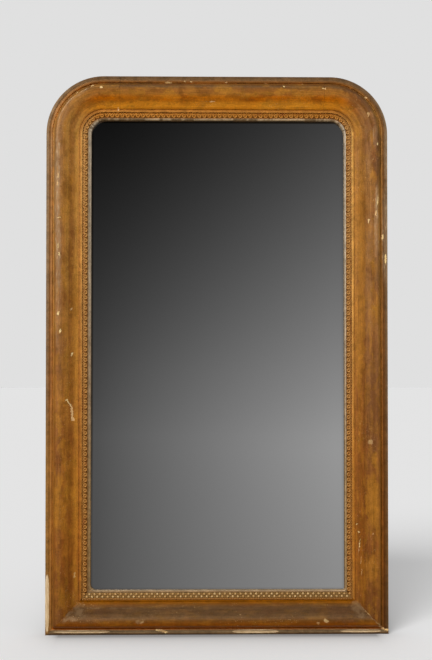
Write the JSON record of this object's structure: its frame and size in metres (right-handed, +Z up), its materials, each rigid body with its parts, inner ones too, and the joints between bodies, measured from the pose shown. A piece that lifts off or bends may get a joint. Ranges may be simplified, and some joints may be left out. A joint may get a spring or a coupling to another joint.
{
  "type": "pier mirror",
  "caption": "Tall framed mirror with a moulded bronze-gilt wooden frame, rounded top corners, a beaded sight edge, a boarded back and swinging iron hanging rings.",
  "frame": {"origin": "the middle of the base: half way across the width and half way through the depth, on the surface that the mirror stands on", "axes": "+Z up along the height, +X to the viewer's right across the width, -Y out of the front towards the viewer"},
  "size_m": [0.85, 0.0692, 1.387],
  "materials": {
    "bronze_gilding": "aged bronze gilding and toned lacquer over gesso on pine, satin, worn at the edges",
    "gilt_ornament": "pressed composition ornament, aged gilding, satin",
    "old_pine": "bare pine, darkened by age, dusty",
    "backing_pine": "bare sawn pine planks, darkened by age",
    "silvered_glass": "old silvered plate, polished, faintly dulled at the edges",
    "wrought_iron": "wrought iron, dark, slightly rusted",
    "steel_screw": "old slotted screws, dull"
  },
  "bodies": {
    "frame": {"left_stile_moulding": "bronze_gilding", "right_stile_moulding": "bronze_gilding", "top_left_corner_block": "bronze_gilding", "top_right_corner_block": "bronze_gilding", "top_rail_moulding": "bronze_gilding", "bottom_rail_moulding": "bronze_gilding", "left_ring_strip": "gilt_ornament", "right_ring_strip": "gilt_ornament", "top_ring_strip": "gilt_ornament", "top_left_ring_curve": "gilt_ornament", "top_right_ring_curve": "gilt_ornament", "bottom_pearl_strip": "gilt_ornament", "left_carcass_board": "old_pine", "right_carcass_board": "old_pine", "bottom_carcass_board": "old_pine", "top_carcass_board": "old_pine", "mirror_glass": "silvered_glass", "glass_block_1": "old_pine", "glass_block_2": "old_pine", "glass_block_3": "old_pine", "glass_block_4": "old_pine", "glass_block_5": "old_pine", "glass_block_6": "old_pine", "glass_block_7": "old_pine", "glass_block_8": "old_pine", "glass_block_9": "old_pine", "glass_block_10": "old_pine", "backboard_1": "backing_pine", "backboard_2": "backing_pine", "backboard_3": "backing_pine", "backboard_4": "backing_pine", "backboard_5": "backing_pine", "left_hanger_strap": "wrought_iron", "right_hanger_strap": "wrought_iron", "left_hanger_screw_1": "steel_screw", "left_hanger_screw_2": "steel_screw", "right_hanger_screw_1": "steel_screw", "right_hanger_screw_2": "steel_screw"},
    "left_ring": {"left_hanging_ring": "wrought_iron"},
    "right_ring": {"right_hanging_ring": "wrought_iron"}
  },
  "joints": [
    {"name": "left_ring_swing", "type": "hinge", "parent": "frame", "child": "left_ring", "pos_m": [-0.381, 0.03, 1.087], "axis": [1, 0, 0], "range_deg": [0, 180]},
    {"name": "right_ring_swing", "type": "hinge", "parent": "frame", "child": "right_ring", "pos_m": [0.381, 0.03, 1.087], "axis": [1, 0, 0], "range_deg": [0, 180]}
  ]
}
